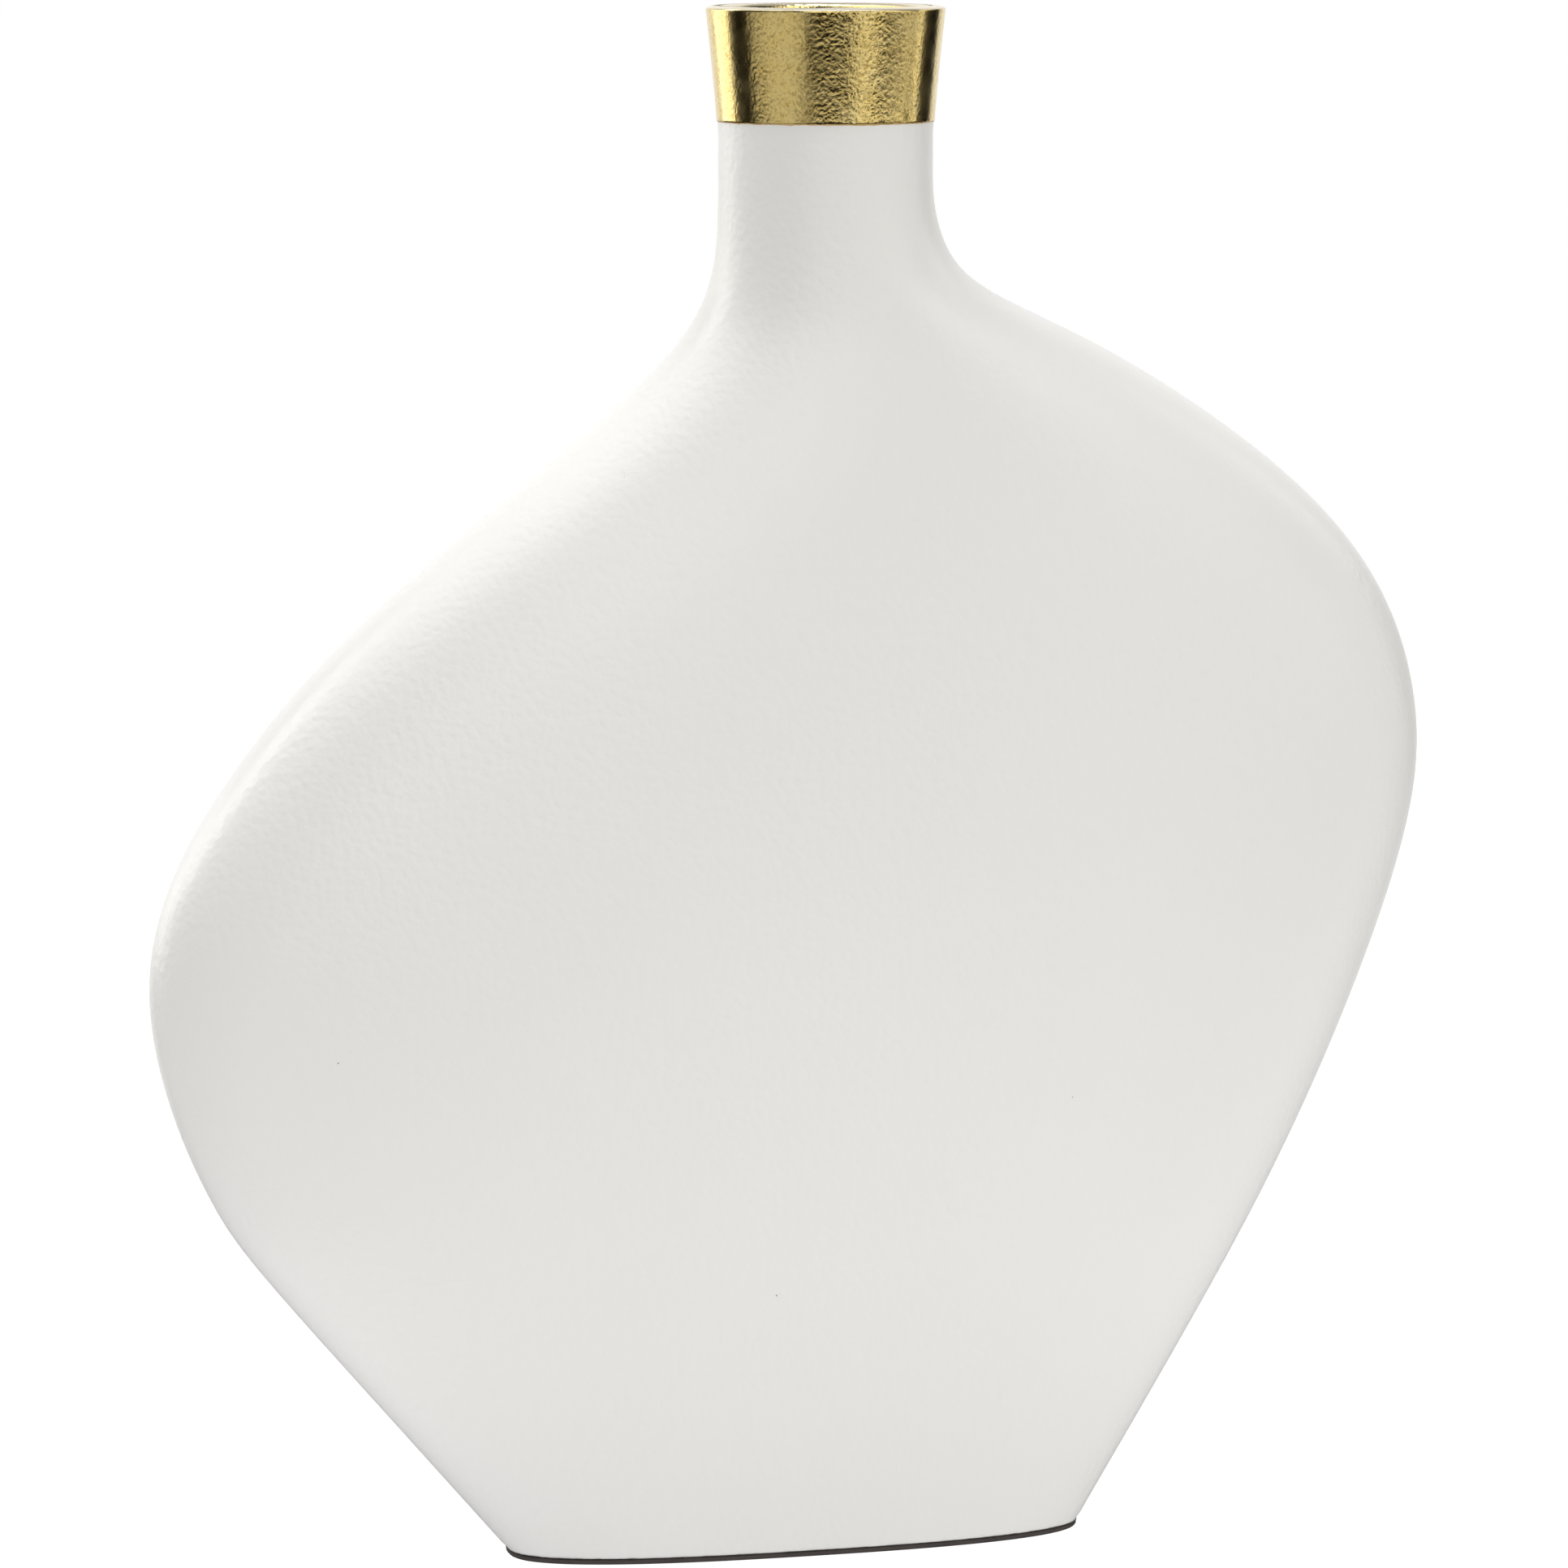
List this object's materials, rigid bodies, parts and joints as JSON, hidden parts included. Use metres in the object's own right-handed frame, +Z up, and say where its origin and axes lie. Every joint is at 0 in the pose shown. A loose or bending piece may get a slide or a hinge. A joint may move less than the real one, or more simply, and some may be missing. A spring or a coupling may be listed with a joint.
{
  "type": "vase",
  "caption": "Flat, lopsided white porcelain vase with rounded shoulders, an off-centre round neck, a hand-gilded lip band and a thin pad under its narrow foot.",
  "frame": {"origin": "centre of the foot pad's underside", "axes": "+Z up along the neck, -Y out of the broad front face, +X to the right of a viewer facing that front"},
  "size_m": [0.2581, 0.0686, 0.305],
  "materials": {
    "porcelain": "satin",
    "gold_leaf": "satin",
    "base_coat": "matte",
    "adhesive": "matte",
    "pad": "matte"
  },
  "bodies": {
    "root": {"porcelain_body": "porcelain", "gold_leaf_band": "gold_leaf", "gilding_base_coat": "base_coat", "pad_adhesive_film": "adhesive", "foot_pad": "pad"}
  },
  "joints": []
}
